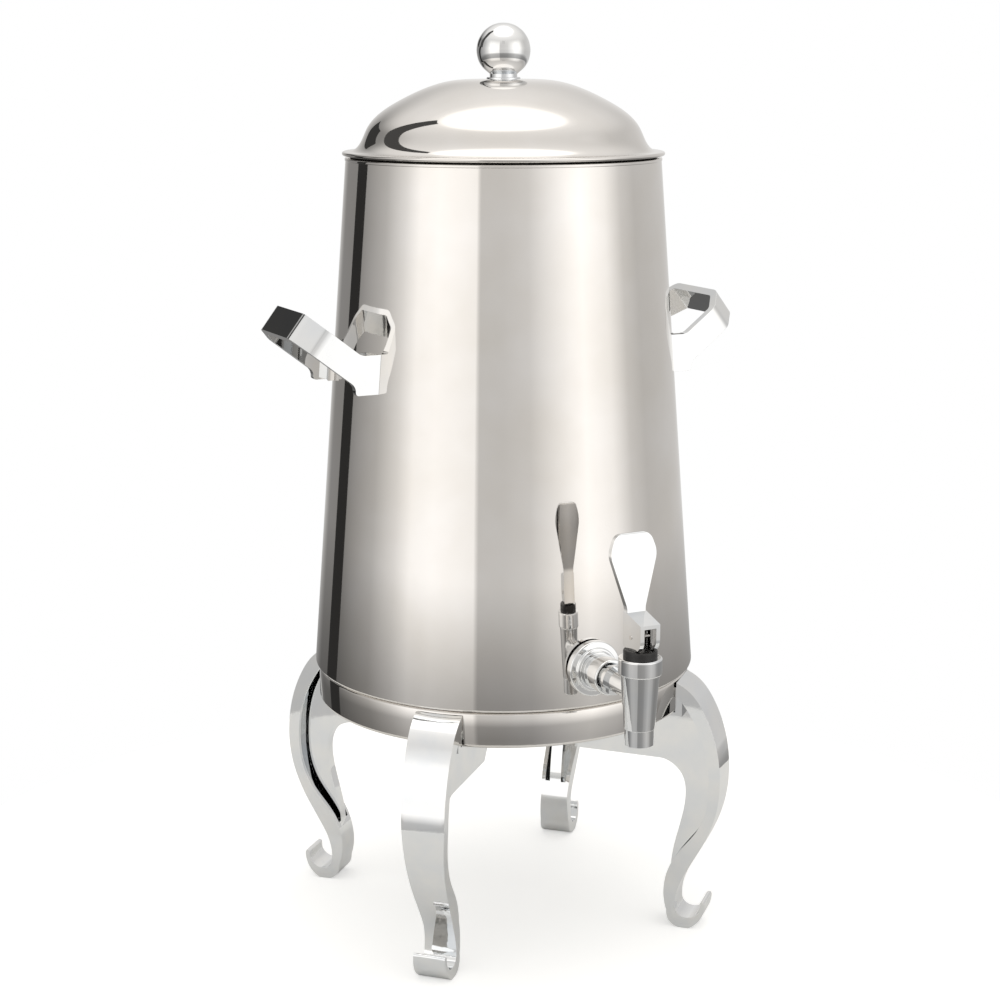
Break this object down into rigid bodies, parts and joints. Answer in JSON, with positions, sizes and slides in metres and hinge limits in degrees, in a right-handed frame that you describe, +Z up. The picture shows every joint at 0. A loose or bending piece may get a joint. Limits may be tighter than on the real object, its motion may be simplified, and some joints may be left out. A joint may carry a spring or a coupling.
{
  "type": "coffee urn",
  "caption": "Insulated coffee urn on cast cabriole legs with a lift-off domed lid, side handles and a lever tap.",
  "frame": {"origin": "on the body's axis, on the floor plane under the feet", "axes": "+Z up, -Y towards the tap, +X and -X towards the handles"},
  "size_m": [0.3332, 0.3398, 0.6224],
  "materials": {
    "polished_steel": "mirror polished stainless steel",
    "chrome_plate": "bright chrome plate on a casting",
    "silicone": "matt silicone rubber",
    "black_nylon": "moulded black nylon"
  },
  "bodies": {
    "urn": {"outer_shell": "polished_steel", "shell_bottom": "polished_steel", "vacuum_seal_cap": "polished_steel", "inner_vessel": "polished_steel", "mouth_ring": "polished_steel", "base_band": "polished_steel", "base_plate": "polished_steel", "base_weld_nuts": "polished_steel", "leg_arm_screws": "polished_steel", "leg_band_screws": "polished_steel", "handle_studs": "polished_steel", "outlet_tube": "polished_steel", "tap_spring": "polished_steel", "escutcheon": "chrome_plate", "tap_union_nut": "chrome_plate", "tap_body": "chrome_plate", "right_handle": "chrome_plate", "left_handle": "chrome_plate", "front_right_leg": "chrome_plate", "rear_right_leg": "chrome_plate", "rear_left_leg": "chrome_plate", "front_left_leg": "chrome_plate", "seam_gasket": "silicone", "outlet_seal": "silicone", "tap_bonnet": "black_nylon"},
    "lid": {"lid_dome": "polished_steel", "lid_liner": "polished_steel", "lid_gasket": "silicone", "knob_collar": "chrome_plate", "lid_knob": "chrome_plate", "knob_screw": "polished_steel"},
    "stem": {"tap_stem": "polished_steel", "tap_seat_cup": "silicone"},
    "lever": {"tap_lever": "chrome_plate", "lever_pin": "polished_steel"}
  },
  "joints": [
    {"name": "lid_lift", "type": "slide", "parent": "urn", "child": "lid", "axis": [0, 0, 1], "range_m": [0, 0.3]},
    {"name": "stem_lift", "type": "slide", "parent": "urn", "child": "stem", "axis": [0, 0, 1], "range_m": [0, 0.0025], "stiffness_N_per_m": 100, "deforming": ["tap_spring"]},
    {"name": "lever_pull", "type": "hinge", "parent": "stem", "child": "lever", "pos_m": [0, -0.193, 0.2481], "axis": [1, 0, 0], "range_deg": [0, 35], "stiffness_Nm_per_rad": 0.6}
  ],
  "couplings": [
    {"joint": "stem_lift", "follows": "lever_pull", "m_per_rad": 0.004}
  ]
}
